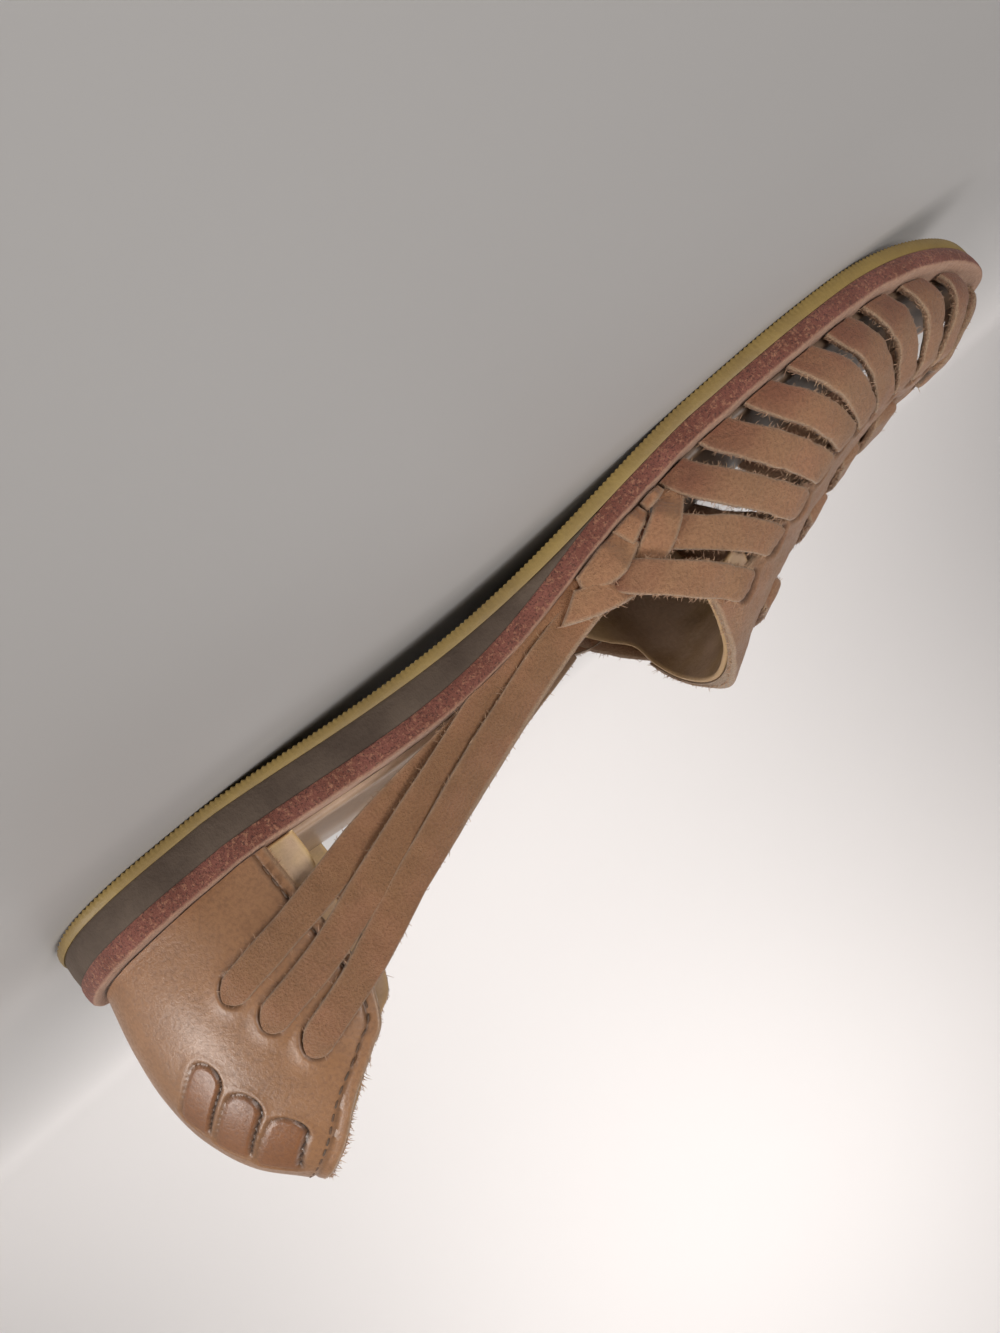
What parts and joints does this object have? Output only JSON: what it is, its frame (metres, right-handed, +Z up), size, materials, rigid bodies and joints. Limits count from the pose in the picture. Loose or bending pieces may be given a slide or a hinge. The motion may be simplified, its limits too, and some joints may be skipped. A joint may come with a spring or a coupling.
{
  "type": "huarache sandal",
  "caption": "Flat woven leather sandal with a closed heel cup, a woven open vamp, side straps and a layered flat sole.",
  "frame": {"origin": "on the floor, in the middle of the heel's flat", "axes": "+X along the sole from heel to toe, +Y to the medial side of this right shoe, +Z up from the floor"},
  "size_m": [0.258, 0.0904, 0.0695],
  "materials": {
    "ochre_rubber": "matt ribbed rubber",
    "dark_wedge": "matt dense foam",
    "speckled_board": "cut edge of pressed leather board, speckled",
    "pale_lining": "smooth lining leather",
    "tan_leather": "matt grained leather with raw edges",
    "smooth_tan_leather": "smooth leather with a soft sheen",
    "strap_leather": "matt grained leather with cut edges"
  },
  "bodies": {
    "root": {"outsole": "ochre_rubber", "wedge": "dark_wedge", "midsole": "speckled_board", "insole": "pale_lining", "vamp": "tan_leather", "heel_counter": "smooth_tan_leather", "side_straps_medial": "strap_leather", "side_straps_lateral": "strap_leather"}
  },
  "joints": []
}
